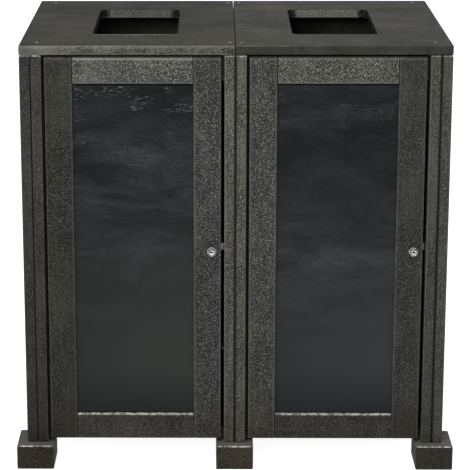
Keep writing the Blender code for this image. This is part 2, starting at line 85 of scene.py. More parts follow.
def shade(finish, colour, coats, roughness, relief, settings):
    """Lays coats over a colour, and ends the finish with its relief and its shader's other settings.

    A coat is (amount, colour, blend), and a relief is (height, strength, depth).
    """
    tree = finish.node_tree
    for amount, coat, blend in coats:
        colour = add(tree, "Mix", {0: amount, 6: colour, 7: coat}, data_type="RGBA", blend_type=blend)
    inputs = {"Base Color": colour, "Roughness": roughness, **settings}
    if relief:
        inputs["Normal"] = add(tree, "Bump", dict(zip(("Height", "Strength", "Distance"), relief)))
    add(tree, "OutputMaterial", {"Surface": add(tree, "BsdfPrincipled", inputs)})
    return finish


def dress(piece, finish):
    """Gives a CAD node its finish."""
    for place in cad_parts[piece].material_slots:
        place.material = finish


def patches(tree, place, scale, detail, levels, reach=(0.0, 1.0), roughness=0.5):
    """Noise of a scale along x, y and z, spread over a reach between two of its levels."""
    stretched = add(tree, "Mapping", {"Vector": place, "Scale": scale})
    noise = add(tree, "TexNoise", {
        "Vector": stretched, "Scale": 1.0, "Detail": detail, "Roughness": roughness})
    return add(tree, "MapRange", {0: noise, 1: levels[0], 2: levels[1], 3: reach[0], 4: reach[1]})


def faded(tree, amount, *fades):
    """Amount times its fades: each is a value, where it starts and ends, and there its least and most."""
    for value, *limits in fades:
        share = add(tree, "MapRange", {0: value, **dict(zip((1, 2, 3, 4), limits))})
        amount = add(tree, "Math", {0: amount, 1: share}, operation="MULTIPLY")
    return amount


def clouded(tree, place, layers, roughness=0.5):
    """Tone about a half, from layers of noise: each a scale, a detail and an amount."""
    tone = 0.5
    for scale, detail, amount in layers:
        layer = patches(tree, place, scale, detail, (0.0, 1.0), (-amount / 2, amount / 2), roughness)
        tone = add(tree, "Math", {0: tone, 1: layer}, operation="ADD")
    return tone


def pebbles(tree, place):
    """Height of a pressed grain: pebbles of 2 mm, of uneven outline, height and lot, with valleys between."""
    waver = add(tree, "TexNoise", {"Vector": place, "Scale": 600.0, "Detail": 1.0})
    bent = add(tree, "Mix", {0: 0.0035, 4: place, 5: waver.outputs["Color"]}, data_type="VECTOR")
    pebble = add(tree, "TexVoronoi", {"Vector": bent, "Scale": 530.0})
    dome = add(tree, "MapRange", {0: pebble, 1: 0.10, 2: 0.75, 3: 1.0, 4: 0.0})
    lot = add(tree, "SeparateXYZ", {"Vector": pebble.outputs["Color"]})
    pale = add(tree, "Math", {0: lot, 1: 2.4}, operation="POWER")
    relief = add(tree, "Math", {0: dome, 1: pale}, operation="MULTIPLY")
    return add(tree, "Math", {0: dome, 1: 0.35, 2: relief}, operation="MULTIPLY_ADD")


def lumber(piece, colour, seed, grain=1.0, contrast=1.0, ledge_highlight=0.0, foot_shade=0.85, browning=0.8, seams=(),
           crest_highlight=0.0, level=False, strip=0.004, ease=0.003, wear_and_highlight=0.8, ends=1.0, shade_under_top=0.0, seam_shade_width=0.0015):
    """Recycled-plastic lumber: an extruded charcoal board whose faces are rolled with a pebbly grain.

    The rollers pressed hardest in the middle of a face, so the grain fades into smooth strips along the
    edges, and streaks of unmixed plastic run along the board, which is upright or level. Its pale pebbles
    are partly painted glints, its top end's arrises carry painted highlights, and it is painted darker
    towards its foot, in its seams and under the top, as shade.
    """
    low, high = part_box(piece)
    half = [(far - near) / 2 for near, far in zip(low, high)]
    finish, tree = new_finish(f"recycled_lumber_{piece}")
    place = add(tree, "TexCoord").outputs["Object"]
    centred = add(tree, "Mapping", {"Vector": place, "Location": [-(a + b) / 2 for a, b in zip(low, high)]})
    offsets = add(tree, "SeparateXYZ", {"Vector": centred}).outputs
    height = add(tree, "SeparateXYZ", {"Vector": place}).outputs["Z"]

    # distance from each pair of faces: an arris is where two of the three are small
    depth = []
    for axis in range(3):
        away = add(tree, "Math", {0: offsets[axis]}, operation="ABSOLUTE")
        depth.append(add(tree, "Math", {0: half[axis], 1: away}, operation="SUBTRACT"))
    least, most = [add(tree, "Math", {0: depth[0], 1: depth[1]}, operation=which)
                   for which in ("MINIMUM", "MAXIMUM")]
    second = add(tree, "Math", {0: most, 1: depth[2]}, operation="MINIMUM")
    arris = add(tree, "Math", {0: least, 1: second}, operation="MAXIMUM")

    shifted = add(tree, "Mapping", {"Vector": place, "Location": (seed * 0.731, seed * 0.417, seed * 0.293)})
    relief = pebbles(tree, shifted)

    # grain strength in patches of about 120 mm, less at the edges and towards the foot: its pale pebbles are
    # partly painted glints, which fade downwards as the light falls off
    grain_and_glint = patches(tree, shifted, (16.0, 16.0, 6.0), 2.0, (0.36, 0.56), (grain * 0.50, grain))
    across = depth[2 if level else 0]
    grain_and_glint = faded(tree, grain_and_glint, (across, strip * 0.5, strip * 1.5, 0.35, 1.0), (height, 0.08, 0.38, 0.65, 1.0))
    grained = add(tree, "Math", {0: relief, 1: 0.42}, operation="SUBTRACT")
    grained = add(tree, "Math", {0: grained, 1: grain_and_glint}, operation="MULTIPLY")

    # streaks 4 mm wide and 150 mm long, and clouds of 60 mm
    stretch = (7.0, 250.0, 250.0) if level else (250.0, 250.0, 7.0)
    tone = clouded(tree, shifted, ((stretch, 2.0, 0.28), ((17.0,) * 3, 3.0, 0.22)))
    tone = add(tree, "Math", {0: grained, 1: contrast, 2: tone}, operation="MULTIPLY_ADD")
    body = add(tree, "ValToRGB", {0: tone}, (
        (0.10, linear(colour, 0.20)), (0.95, linear(colour, 3.6)), (0.5, linear(colour))))

    # painted shade darkens the board towards the foot, where the light falls off, and it is browner there in
    # soft patches
    shade_towards_foot = add(tree, "MapRange", {0: height, 1: 0.75, 2: 0.12})
    brown = patches(tree, shifted, (9.0,) * 3, 2.0, (0.40, 0.60), (0.6, 1.0))
    brown = faded(tree, brown, (height, 0.22, 0.085, 0.10, browning))

    # the top end's arrises are painted pale, as wear and as highlight from the light above, and the long
    # arrises a little, less near a block's ends
    rub = patches(tree, shifted, (110.0,) * 3, 3.0, (0.38, 0.60), (0.15, 1.0))
    down = add(tree, "Math", {0: half[2], 1: offsets["Z"]}, operation="SUBTRACT")
    upper_highlight = add(tree, "MapRange", {0: down, 1: ease * 1.6, 2: ease, 3: min(0.15, 0.12 / wear_and_highlight), 4: 1.0})
    worn_and_lit = add(tree, "MapRange", {0: arris, 1: ease * 0.85, 2: ease * 0.5, 4: wear_and_highlight})
    worn_and_lit = add(tree, "Math", {0: worn_and_lit, 1: upper_highlight}, operation="MULTIPLY", use_clamp=True)
    worn_and_lit = add(tree, "Math", {0: worn_and_lit, 1: rub}, operation="MULTIPLY")
    worn_and_lit = faded(tree, worn_and_lit, (depth[0], 0.003, 0.007, ends, 1.0))

    # so are a ledge's lip and a crest, as painted highlight with wear: a strong one is ragged, and a faint one
    # is even
    for reach, amount in ((0.0022, ledge_highlight), (0.0100, crest_highlight)):
        pale = faded(tree, amount, (down, reach, reach * 0.4))
        if amount > 0.5:
            pale = add(tree, "Math", {0: pale, 1: rub}, operation="MULTIPLY")
        worn_and_lit = add(tree, "Math", {0: worn_and_lit, 1: pale}, operation="MAXIMUM")
    coats = [(shade_towards_foot, (foot_shade, foot_shade, foot_shade, 1.0), "MULTIPLY"),
             (brown, (0.68, 0.59, 0.53, 1.0), "MULTIPLY"), (worn_and_lit, linear("#cacbc3"), "MIX")]

    # painted shade darkens the first 6 mm of a seam, on the sides that stand against a neighbour
    for way in seams:
        beside = add(tree, "Math", {0: offsets["X"], 1: -way, 2: half[0]}, operation="MULTIPLY_ADD")
        seam_shade = faded(tree, 0.85, (beside, seam_shade_width * 1.5, seam_shade_width * 0.8), (depth[1], 0.008, 0.005))
        coats.append((seam_shade, linear("#0b0b09"), "MIX"))
    if shade_under_top:
        # and painted shade darkens the strip under the overhanging top
        coats.append((faded(tree, 0.9, (down, shade_under_top * 1.3, shade_under_top * 0.8)), linear("#0b0b09"), "MIX"))

    gloss = add(tree, "MapRange", {0: relief, 1: 0.2, 2: 0.9, 3: 0.72, 4: 0.50})
    shape = add(tree, "Math", {0: relief, 1: grain_and_glint}, operation="MULTIPLY")
    dress(piece, shade(finish, body, coats, gloss, (shape, 0.8, 0.0008), {"Specular IOR Level": 0.12}))


FEET = {
    # foot: (colour, wear and painted highlight of its arrises)
    "left": ("#332d25", 4.0),
    "centre": ("#3d3831", 4.6),
    "right": ("#37352e", 2.4),
}
for row, row_seed in (("front", 1), ("rear", 5)):
    for i, (side, (colour, wear_and_highlight)) in enumerate(FEET.items()):
        lumber(f"{row}_{side}_foot", colour, row_seed + i, grain=0.95, contrast=1.6, ledge_highlight=0.16, foot_shade=1.0,
               browning=0.15, strip=0.002, ease=0.0034, wear_and_highlight=wear_and_highlight, ends=0.2)

# Side boards: six upright boards, 25 mm thick and as deep as the cabinets, sawn from the same lumber.
# The outer pair at each end and the pair in the middle stand edge on at the front.
# the boards' colours are partly their own tone and partly painted light: the boards in the middle are painted
# lighter than those at the ends
SIDE_BOARDS = {
    # piece: (colour, seed, grain, contrast, painted highlight on the upper end, painted shade and browning at
    # the foot, seam, width of its painted shade)
    "left_end_panel": ("#3d3c39", 11, 0.75, 1.25, 1.0, 0.76, 0.8, (1,), 0.0017),
    "left_outer_wall": ("#43423e", 12, 0.70, 1.25, 1.0, 0.63, 0.8, (-1,), 0.0017),
    "left_inner_wall": ("#656560", 13, 1.10, 1.15, 0.0, 0.63, 0.4, (1,), 0.0030),
    "right_inner_wall": ("#65655e", 14, 1.20, 1.15, 0.0, 0.71, 0.4, (-1,), 0.0030),
    "right_outer_wall": ("#53554f", 15, 0.90, 1.10, 0.0, 0.61, 0.6, (1,), 0.0028),
    "right_end_panel": ("#51524c", 16, 0.85, 1.10, 0.0, 0.86, 0.8, (-1,), 0.0028),
}
for piece, (*board, width) in SIDE_BOARDS.items():
    lumber(piece, *board, strip=0.003, wear_and_highlight=0.6, seam_shade_width=width)

# Floor panels, back panels and head rails: they tie each pair of walls together.
# Floors and backs are smooth sheet with faint streaks from its extrusion; the head rails are lumber.


def sheet(piece, colour, seed, cut_grain=0.0, top=None):
    """Extruded recycled sheet: smooth, with faint streaks, and mottled where a saw or router has cut it.

    A top is given by its front face, its front arris, pale from rubbing and painted highlight, and its drop
    hole, whose walls carry painted light and shade.
    """
    low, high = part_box(piece)
    finish, tree = new_finish(f"recycled_sheet_{piece}")
    place = add(tree, "TexCoord").outputs["Object"]
    x, y, z = add(tree, "SeparateXYZ", {"Vector": place}).outputs
    shifted = add(tree, "Mapping", {"Vector": place, "Location": (seed * 0.531, seed * 0.617, seed * 0.193)})

    # faint streaks both ways, a mottle of 12 mm, and clouds of 90 mm
    tone = clouded(tree, shifted, (((190.0, 7.0, 190.0), 3.0, 0.13), ((5.0, 210.0, 210.0), 3.0, 0.20),
                                   ((80.0,) * 3, 3.0, 0.34), ((11.0,) * 3, 3.0, 0.48)), roughness=0.6)

    # the sawn and routed faces show the sheet's core, in pebbly grits
    grit = pebbles(tree, shifted)
    below = add(tree, "Math", {0: high.z, 1: z}, operation="SUBTRACT")
    deep = (below, 0.0008, 0.0022)
    cut = faded(tree, cut_grain, deep)
    coats = []
    if top:
        (face_grain, face_tone, spread, plain_x), arris, (middle, reach, rim_y, rim_wear) = top
        near_x, far_x, skim_depth, foot_reach, lower_arris_tone = arris

        # the front face has its own grain and tone, in blotches of 30 mm, and may be plain at its left end
        inside = add(tree, "Math", {0: y, 1: low.y}, operation="SUBTRACT")
        tones = (face_tone - spread, face_tone + spread)
        blotch = patches(tree, shifted, (34.0,) * 3, 2.0, (0.35, 0.65), tones)
        facing = add(tree, "MapRange", {0: inside, 1: 0.0015, 2: 0.0007})
        tone = add(tree, "Math", {0: facing, 1: blotch, 2: tone}, operation="MULTIPLY_ADD")

        # painted shade darkens the hole's long sides and corners, and painted light brightens its back wall,
        # which the router leaves coarser
        aside = add(tree, "Math", {0: x, 1: middle}, operation="SUBTRACT")
        aside = add(tree, "Math", {0: aside}, operation="ABSOLUTE")
        flank = add(tree, "MapRange", {0: aside, 1: reach - 0.026, 2: reach - 0.013})
        routed = faded(tree, 1.0, (aside, reach + 0.004, reach + 0.003), deep, (inside, 0.10, 0.12))
        hole_light_and_shade = add(tree, "MapRange", {0: flank, 3: 0.66, 4: -0.60})
        tone = add(tree, "Math", {0: routed, 1: hole_light_and_shade, 2: tone}, operation="MULTIPLY_ADD")
        cut = faded(tree, cut, (inside, 0.004, 0.002, 1.0, face_grain),
                    (x, plain_x, plain_x + 0.10, 0.15, 1.0), (routed, 0.0, 1.0, 1.0, 1.5))

        # the front's upper arris is painted pale, as wear and as painted highlight, and the strip before the
        # middle of the hole's front rim is rubbed pale
        edge = faded(tree, 1.0, (inside, 0.0026, 0.0010), (x, near_x, far_x, 0.5, 0.08),
                     (below, skim_depth, skim_depth * 0.2))
        rim = faded(tree, rim_wear, (y, rim_y - 0.014, rim_y - 0.010), (y, rim_y + 0.002, rim_y),
                    (aside, reach + 0.002, reach - 0.035), (below, 0.0026, 0.0016))
        rub = add(tree, "Math", {0: rim, 1: edge}, operation="MAXIMUM")
        ragged = patches(tree, shifted, (90.0,) * 3, 3.0, (0.35, 0.60), (0.25, 0.80))
        rub = add(tree, "Math", {0: rub, 1: ragged}, operation="MULTIPLY")

        # the lower arris is rubbed pale where its amount is above nothing, and darkened by painted shade from
        # the gap below where its amount is below nothing
        above = add(tree, "Math", {0: z, 1: low.z}, operation="SUBTRACT")
        foot = faded(tree, abs(lower_arris_tone), (above, foot_reach, foot_reach * 0.4))
        coats = [(rub, linear("#96978f"), "MIX"),
                 (foot, linear("#96978f" if lower_arris_tone > 0 else "#0b0b09"), "MIX")]
    gritty = add(tree, "Math", {0: grit, 1: 0.27}, operation="SUBTRACT")
    tone = add(tree, "Math", {0: gritty, 1: cut, 2: tone}, operation="MULTIPLY_ADD")

    # tones go to 2, and a ramp to 1
    half_tone = add(tree, "Math", {0: tone, 1: 0.5}, operation="MULTIPLY")
    body = add(tree, "ValToRGB", {0: half_tone}, (
        (0.025, linear(colour, 0.22)), (1.0, linear(colour, 6.33)), (0.25, linear(colour))))
    stain = patches(tree, shifted, (5.0,) * 3, 2.0, (0.35, 0.65))
    hue = add(tree, "Mix", {0: stain, 6: (1.0, 0.96, 0.93, 1.0), 7: (0.95, 1.0, 0.97, 1.0)}, data_type="RGBA")
    gloss = add(tree, "MapRange", {0: stain, 3: 0.50, 4: 0.62})
    shape = add(tree, "Math", {0: grit, 1: cut}, operation="MULTIPLY")
    shape = add(tree, "Math", {0: tone, 1: 0.3, 2: shape}, operation="MULTIPLY_ADD")
    dress(piece, shade(finish, body, [(1.0, hue, "MULTIPLY"), *coats], gloss, (shape, 0.5, 0.0006),
                       {"Specular IOR Level": 0.01}))


for side, seed in (("left", 21), ("right", 24)):
    sheet(f"{side}_floor_panel", "#454540", seed)
    sheet(f"{side}_back_panel", "#454540", seed + 1)
    lumber(f"{side}_head_rail", "#454541", seed + 2, grain=0.5, level=True)

# cleats, ripped from the same sheet, close the corners between the back panels and the walls
CLEAT = 0.014
CLEAT_EASE = 0.001
CLEAT_GAP = 0.001
BAYS = {"left": ("left_outer_wall", "left_inner_wall"), "right": ("right_inner_wall", "right_outer_wall")}


def eased_box(bm, low, high, ease):
    """Box between two corners with its edges eased."""
    made = bmesh.ops.create_cube(bm, size=1)["verts"]
    bmesh.ops.scale(bm, vec=[far - near for near, far in zip(low, high)], verts=made)
    bmesh.ops.translate(bm, vec=[(near + far) / 2 for near, far in zip(low, high)], verts=made)
    edges = list({edge for vert in made for edge in vert.link_edges})
    bmesh.ops.bevel(bm, geom=edges, offset=ease, segments=1, affect="EDGES")


def new_piece(name, bm, finish):
    """Object from a bmesh, with its faces turned outwards."""
    bmesh.ops.recalc_face_normals(bm, faces=bm.faces)
    mesh = bpy.data.meshes.new(name)
    bm.to_mesh(mesh)
    bm.free()
    mesh.materials.append(finish)
    thing = bpy.data.objects.new(name, mesh)
    bpy.context.scene.collection.objects.link(thing)
    return thing


for side, (near_wall, far_wall) in BAYS.items():
    panel_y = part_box(f"{side}_back_panel")[0].y
    foot_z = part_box(f"{side}_floor_panel")[1].z + CLEAT_GAP
    head_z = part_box(near_wall)[1].z - CLEAT_GAP
    bm = bmesh.new()
    for low_x in (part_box(near_wall)[1].x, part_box(far_wall)[0].x - CLEAT):
        eased_box(bm, (low_x, panel_y - CLEAT, foot_z), (low_x + CLEAT, panel_y, head_z), CLEAT_EASE)
    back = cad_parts[f"{side}_back_panel"]
    cleats = new_piece(f"{side}_back_cleats", bm, back.material_slots[0].material)
    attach(cleats, "cabinets")

# Cabinet screws: zinc-plated steel with a cross recess, driven flush. They go through the back panels into
# the floors, cleats and head rails, and through the walls into the boards beside them.


def plated(name, colour, roughness, spread, scale, relief, spot_tone=0.72, spots=(0.0, 1.0)):
    """Plated steel: bright and even in colour, with a slightly uneven polish and darker spots, which on the
    chrome are painted dark reflections.
    """
    finish, tree = new_finish(name)
    place = add(tree, "TexCoord").outputs["Object"]
    cloud = add(tree, "TexNoise", {"Vector": place, "Scale": scale, "Detail": 3.0})
    gloss = add(tree, "MapRange", {0: cloud, 1: 0.3, 2: 0.7, 3: roughness, 4: roughness + spread})
    spot = add(tree, "MapRange", {0: cloud, 1: spots[0], 2: spots[1]})
    return shade(finish, linear(colour), [(spot, linear(colour, spot_tone), "MIX")], gloss, (cloud, 0.3, relief),
                 {"Metallic": 1.0})


ZINC = plated("bright_zinc", "#b9bab6", 0.30, 0.18, 350.0, 0.0001)
# the keepers' zinc, painted darker and duller as shade in the door gap
SHADED_DULL_ZINC = plated("shaded_dull_zinc", "#9c9d99", 0.42, 0.18, 350.0, 0.0001)


def smooth(thing, sharp=32):
    """Shades round faces smooth and keeps real edges sharp."""
    thing.data.shade_smooth()
    thing.data.set_sharp_from_angle(angle=math.radians(sharp))


def bridge(bm, loops, end="open"):
    """Faces from ring to ring. The end is open, closed on the first ring, or capped at both ends."""
    faces = []
    for loop, after in zip(loops, loops[1:] + (loops[:1] if end == "closed" else [])):
        for i in range(len(loop)):
            j = (i + 1) % len(loop)
            faces.append(bm.faces.new((loop[i], loop[j], after[j], after[i])))
    if end == "capped":
        bm.faces.new(loops[0])
        bm.faces.new(loops[-1])
    return faces


def recessed_rings(bm, recess, depth, rings, floor_scale=0.6, floor_index=0):
    """Solid turned round Z from (radius, z) rings, with a star-shaped recess sunk in its first end."""
    top = rings[0][1]
    mouth = [bm.verts.new((x, y, top)) for x, y in recess]
    bed = [bm.verts.new((x * floor_scale, y * floor_scale, top - depth)) for x, y in recess]
    for face in [bm.faces.new(bed), *bridge(bm, [mouth, bed])]:
        face.material_index = floor_index
    count = len(recess)
    start = math.atan2(recess[0][1], recess[0][0])
    turns = [start + math.tau * i / (2 * count) for i in range(2 * count)]
    loops = [[bm.verts.new((r * math.cos(t), r * math.sin(t), z)) for t in turns] for r, z in rings]
    rim = loops[0]
    for i in range(count):
        j = (i + 1) % count
        bm.faces.new((mouth[i], rim[2 * i], rim[2 * i + 1], rim[2 * j], mouth[j]))
    bridge(bm, loops)
    bm.faces.new(loops[-1])


def screw_pattern(name, rings, arm, depth):
    """One cross-recessed screw, head at z = 0 and point down, for the fastener tree to repeat."""
    half = arm * 0.24
    quarter = [(arm, -half), (arm, half), (half, half)]
    recess = []
    for _ in range(4):
        recess += quarter
        quarter = [(-y, x) for x, y in quarter]
    bm = bmesh.new()
    recessed_rings(bm, recess, depth, rings)
    pattern = new_piece(name, bm, ZINC)
    smooth(pattern)
    return pattern


def new_tree(name, **inputs):
    """Geometry tree with named inputs and one result, and its inputs' sockets."""
    tree = bpy.data.node_groups.new(name, "GeometryNodeTree")
    for title, kind in inputs.items():
        tree.interface.new_socket(name=title, in_out="INPUT", socket_type=f"NodeSocket{kind}")
    tree.interface.new_socket(name="Result", in_out="OUTPUT", socket_type="NodeSocketGeometry")
    return tree, add(tree, "NodeGroupInput").outputs


def repeat_pattern(tree, given, points, turn=(0.0, 0.0, 0.0), beside=None):
    """Ends a tree: its Pattern set on points, alone or beside a mesh, made one plain mesh in its Finish."""
    pattern = add(tree, "GeometryNodeObjectInfo", {"Object": given["Pattern"]}).outputs["Geometry"]
    placed = add(tree, "GeometryNodeInstanceOnPoints", {0: points, 2: pattern, 5: turn})
    if beside:
        placed = add(tree, "GeometryNodeJoinGeometry", {0: placed})
        tree.links.new(beside, placed.inputs[0])
    real = add(tree, "GeometryNodeRealizeInstances", {0: placed})
    painted = add(tree, "GeometryNodeSetMaterial", {0: real, 2: given["Finish"]})
    add(tree, "NodeGroupOutput", {0: painted})


# this tree sets one screw on every point, along the point's facing, each turned at random
SCREW_TREE, given = new_tree("set_screws", Points="Geometry", Pattern="Object", Seed="Int", Finish="Material")
facing = add(SCREW_TREE, "GeometryNodeInputNamedAttribute", {"Name": "facing"}, data_type="FLOAT_VECTOR")
aimed = add(SCREW_TREE, "FunctionNodeAlignRotationToVector", {"Vector": facing}, axis="Z")
angle = add(SCREW_TREE, "FunctionNodeRandomValue", {2: 0.0, 3: math.tau, 8: given["Seed"]}, data_type="FLOAT")
turn = add(SCREW_TREE, "FunctionNodeAxisAngleToRotation", {"Axis": (0, 0, 1), "Angle": angle})
set_down = add(SCREW_TREE, "FunctionNodeRotateRotation", {0: aimed, 1: turn}, rotation_space="LOCAL")
repeat_pattern(SCREW_TREE, given, given["Points"], set_down)


def grown(name, tree, mesh, values):
    """Object whose mesh a node tree makes from a plain mesh. The result is kept and the modifier is not."""
    thing = bpy.data.objects.new(name, mesh)
    bpy.context.scene.collection.objects.link(thing)
    step = thing.modifiers.new(tree.name, "NODES")
    step.node_group = tree
    for item in tree.interface.items_tree:
        if item.name in values and item.in_out == "INPUT":
            step[item.identifier] = values[item.name]
    evaluated = thing.evaluated_get(bpy.context.evaluated_depsgraph_get())
    result = bpy.data.meshes.new_from_object(evaluated)
    thing.modifiers.clear()
    thing.data = result
    return thing


def set_screws(name, pattern, spots, seed):
    """One piece of screws, at (place, facing) spots."""
    mesh = bpy.data.meshes.new(name)
    mesh.from_pydata([place for place, facing in spots], [], [])
    aim = mesh.attributes.new("facing", "FLOAT_VECTOR", "POINT")
    for row, (place, facing) in zip(aim.data, spots):
        row.vector = facing
    return grown(name, SCREW_TREE, mesh, {"Pattern": pattern, "Seed": seed, "Finish": ZINC})


PANEL_SCREW = screw_pattern("panel_screw", [
    (0.0039, 0.0), (0.0042, -0.0002), (0.0042, -0.0006), (0.0020, -0.0028), (0.0020, -0.014),
    (0.0004, -0.018),
], arm=0.0023, depth=0.0016)
PROUD = 0.0003
FLOOR_SHARES = (0.08, 0.36, 0.64, 0.92)
CLEAT_RISES = (0.28, 0.56)
PANEL_MARGIN = 0.011
WALL_ROWS_Y = (-0.235, 0.02, 0.265)
WALL_ROWS_Z = (0.16, 0.53, 0.90)
back_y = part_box("left_back_panel")[1].y + PROUD
floor_z, rail_z = [sum(corner.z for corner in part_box(piece)) / 2
                   for piece in ("left_floor_panel", "left_head_rail")]
spots = []
for side in BAYS:
    low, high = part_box(f"{side}_back_panel")
    for share in FLOOR_SHARES:
        spots.append(((low.x + share * (high.x - low.x), back_y, floor_z), (0, 1, 0)))
    for z in [floor_z + rise for rise in CLEAT_RISES] + [rail_z]:
        for x in (low.x + PANEL_MARGIN, high.x - PANEL_MARGIN):
            spots.append(((x, back_y, z), (0, 1, 0)))
for walls in BAYS.values():
    for wall, face, way in zip(walls, (1, 0), (1, -1)):
        wall_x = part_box(wall)[face].x + way * PROUD
        spots += [((wall_x, y, z), (way, 0, 0)) for y in WALL_ROWS_Y for z in WALL_ROWS_Z]
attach(set_screws("cabinet_screws", PANEL_SCREW, spots, 4), "cabinets")

# Liners: a rigid bin of injection-moulded polyethylene stands on each floor panel, and lifts out by hand.
# Its walls taper and carry shallow pressed ribs, and its rim is turned out and down.


def moulded(name, colour, pale):
    """Injection-moulded polyethylene: a fine leathery skin with pale scuffs."""
    finish, tree = new_finish(name)
    place = add(tree, "TexCoord").outputs["Object"]
    skin = add(tree, "TexNoise", {"Vector": place, "Scale": 700.0, "Detail": 2.0})
    scuff = patches(tree, place, (160.0, 160.0, 5.0), 4.0, (0.55, 0.75))
    gloss = add(tree, "MapRange", {0: scuff, 3: 0.42, 4: 0.60})
    return shade(finish, linear(colour), [(scuff, linear(pale), "MIX")], gloss, (skin, 0.4, 0.0003),
                 {"Specular IOR Level": 0.4})


LINER = moulded("moulded_polyethylene", "#313131", "#434342")
CORNER_STEPS = 7
RIB_DEPTH = 0.0016
RIB_REACH = 0.017
RIB_SLOPE = 0.003
RIB = ((RIB_REACH, 0), (RIB_REACH - RIB_SLOPE, 1), (RIB_SLOPE - RIB_REACH, 1), (-RIB_REACH, 0))
RIBS_ACROSS = (-0.085, 0.0, 0.085)
RIBS_ALONG = (-0.160, -0.080, 0.0, 0.080, 0.160)


def liner_ring(bm, half_x, half_y, radius, centre, z, swell):
    """Ring of rounded corners and straight sides, whose ribs stand out by swell."""
    turns = [math.pi / 2 * (1 - i / CORNER_STEPS) for i in range(CORNER_STEPS + 1)]
    points = []
    sides = ((half_x, half_y, RIBS_ACROSS), (half_y, half_x, RIBS_ALONG)) * 2
    for quarter, (length, out, ribs) in enumerate(sides):
        local = [(length - radius + radius * math.sin(t), out - radius + radius * math.cos(t)) for t in turns]
        local += [(rib + offset, out + rise * swell) for rib in reversed(ribs) for offset, rise in RIB]
        for u, v in local:
            x, y = ((u, v), (-v, u), (-u, -v), (v, -u))[quarter]
            points.append(bm.verts.new((centre[0] + x, centre[1] + y, z)))
    return points


for side in BAYS:
    # from its foot up the outside, over the rim and down the inside
    low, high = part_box(f"{side}_liner")
    half_x, half_y = (high.x - low.x) / 2, (high.y - low.y) / 2
    centre = ((low.x + high.x) / 2, (low.y + high.y) / 2)
    foot, rim = low.z, high.z
    wall, lip, corner = 0.003, 0.010, 0.026
    outline = [
        # (inset from the rim's edge, height, corner radius, rib rise)
        (0.032, foot, 0.014, 0), (0.0245, foot + 0.0016, 0.0215, 0), (0.0208, foot + 0.006, 0.0252, 0),
        (0.020, foot + 0.012, corner, 0), (0.0195, foot + 0.040, corner, 0), (0.0193, foot + 0.052, corner, 1),
        (0.0112, rim - 0.060, corner, 1), (0.0110, rim - 0.048, corner, 0), (lip, rim - 0.006, corner, 0),
        (0.0090, rim - 0.0036, corner + 0.001, 0), (0.0070, rim - wall, corner + 0.003, 0),
        (0.0045, rim - wall - 0.0006, corner + 0.0055, 0), (wall, rim - wall - 0.0024, corner + 0.007, 0),
        (wall, rim - 0.018, corner + 0.007, 0), (0.0015, rim - 0.0184, corner + 0.0085, 0),
        (0.0, rim - 0.0175, corner + lip, 0), (0.0, rim - 0.0040, corner + lip, 0),
        (0.0012, rim - 0.0012, corner + 0.0088, 0), (0.0040, rim, corner + 0.006, 0),
        (0.0095, rim, corner + 0.0005, 0), (0.0120, rim - 0.0009, corner - 0.002, 0),
        (0.0130, rim - 0.0035, corner - wall, 0), (0.0140, rim - 0.048, corner - wall, 0),
        (0.0142, rim - 0.060, corner - wall, 1), (0.0223, foot + 0.052, corner - wall, 1),
        (0.0225, foot + 0.040, corner - wall, 0), (0.0230, foot + 0.014, corner - wall, 0),
        (0.0250, foot + 0.006, 0.021, 0), (0.035, foot + wall, 0.011, 0),
    ]
    bm = bmesh.new()
    bridge(bm, [liner_ring(bm, half_x - inset, half_y - inset, radius, centre, z, rise * RIB_DEPTH)
                for inset, z, radius, rise in outline], "capped")
    liner = new_piece(f"{side}_ribbed_liner", bm, LINER)
    smooth(liner, 40)
    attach(liner, "cabinets")
    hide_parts(f"{side}_liner")

# Tops: two sheets of the same plastic, 22 mm thick, each with a routed drop hole. The left one's front edge
# is sawn and gritty, and the right one's is smooth. Countersunk screws hold them to the walls' top edges.
HOLE_X = 0.236725
HOLE_HALF = 0.10075
HOLE_FRONT = -0.167
TOPS = {
    # top: (colour, seed, grain of its cuts, (
    #     (front face's grain, tone, spread of tone, x where it goes plain),
    #     (front arris pale with wear and painted highlight from x, to x, depth of that band, height of the
    #     lower arris's band, and its amount: pale wear above nothing, painted shade below nothing),
    #     (hole's middle x, half width, y of its front rim, wear of that rim)))
    "left_top_panel": ("#3a3a36", 31, 1.3, (
        (2.7, 0.55, 0.22, -0.47), (-0.2, 0.6, 0.010, 0.004, 0.25),
        (-HOLE_X, HOLE_HALF, HOLE_FRONT, 0.60))),
    "right_top_panel": ("#42423e", 32, 1.2, (
        (0.12, -0.09, 0.05, -1.0), (0.08, 0.25, 0.0026, 0.0014, -0.8),
        (HOLE_X, HOLE_HALF, HOLE_FRONT, 0.10))),
}
for piece, values in TOPS.items():
    sheet(piece, *values)

TOP_SCREW = screw_pattern("top_screw", [
    (0.0040, 0.0), (0.0045, -0.0002), (0.0046, -0.0006), (0.0046, -0.0009), (0.0021, -0.0035),
    (0.0021, -0.044), (0.0005, -0.050),
], arm=0.0027, depth=0.0020)
nodes = [f"{side}_top_screw_{row}_{wall}"
         for side in BAYS for row in ("front", "rear") for wall in ("inner", "outer")]
spots = []
for node in nodes:
    low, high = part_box(node)
    spots.append((((low.x + high.x) / 2, (low.y + high.y) / 2, high.z), (0, 0, 1)))
top_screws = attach(set_screws("top_screws", TOP_SCREW, spots, 9), "cabinets")
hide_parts(*nodes)

# Doors: two full-height stiles with a rail between them at the top and the bottom, of 25 mm lumber.
# The rails' grain is strongest, partly as painted glints. The bottom rail's routed ledge carries a painted
# highlight.
# depth of the painted shade under the overhanging top
SHADE_UNDER_TOP = 0.0024
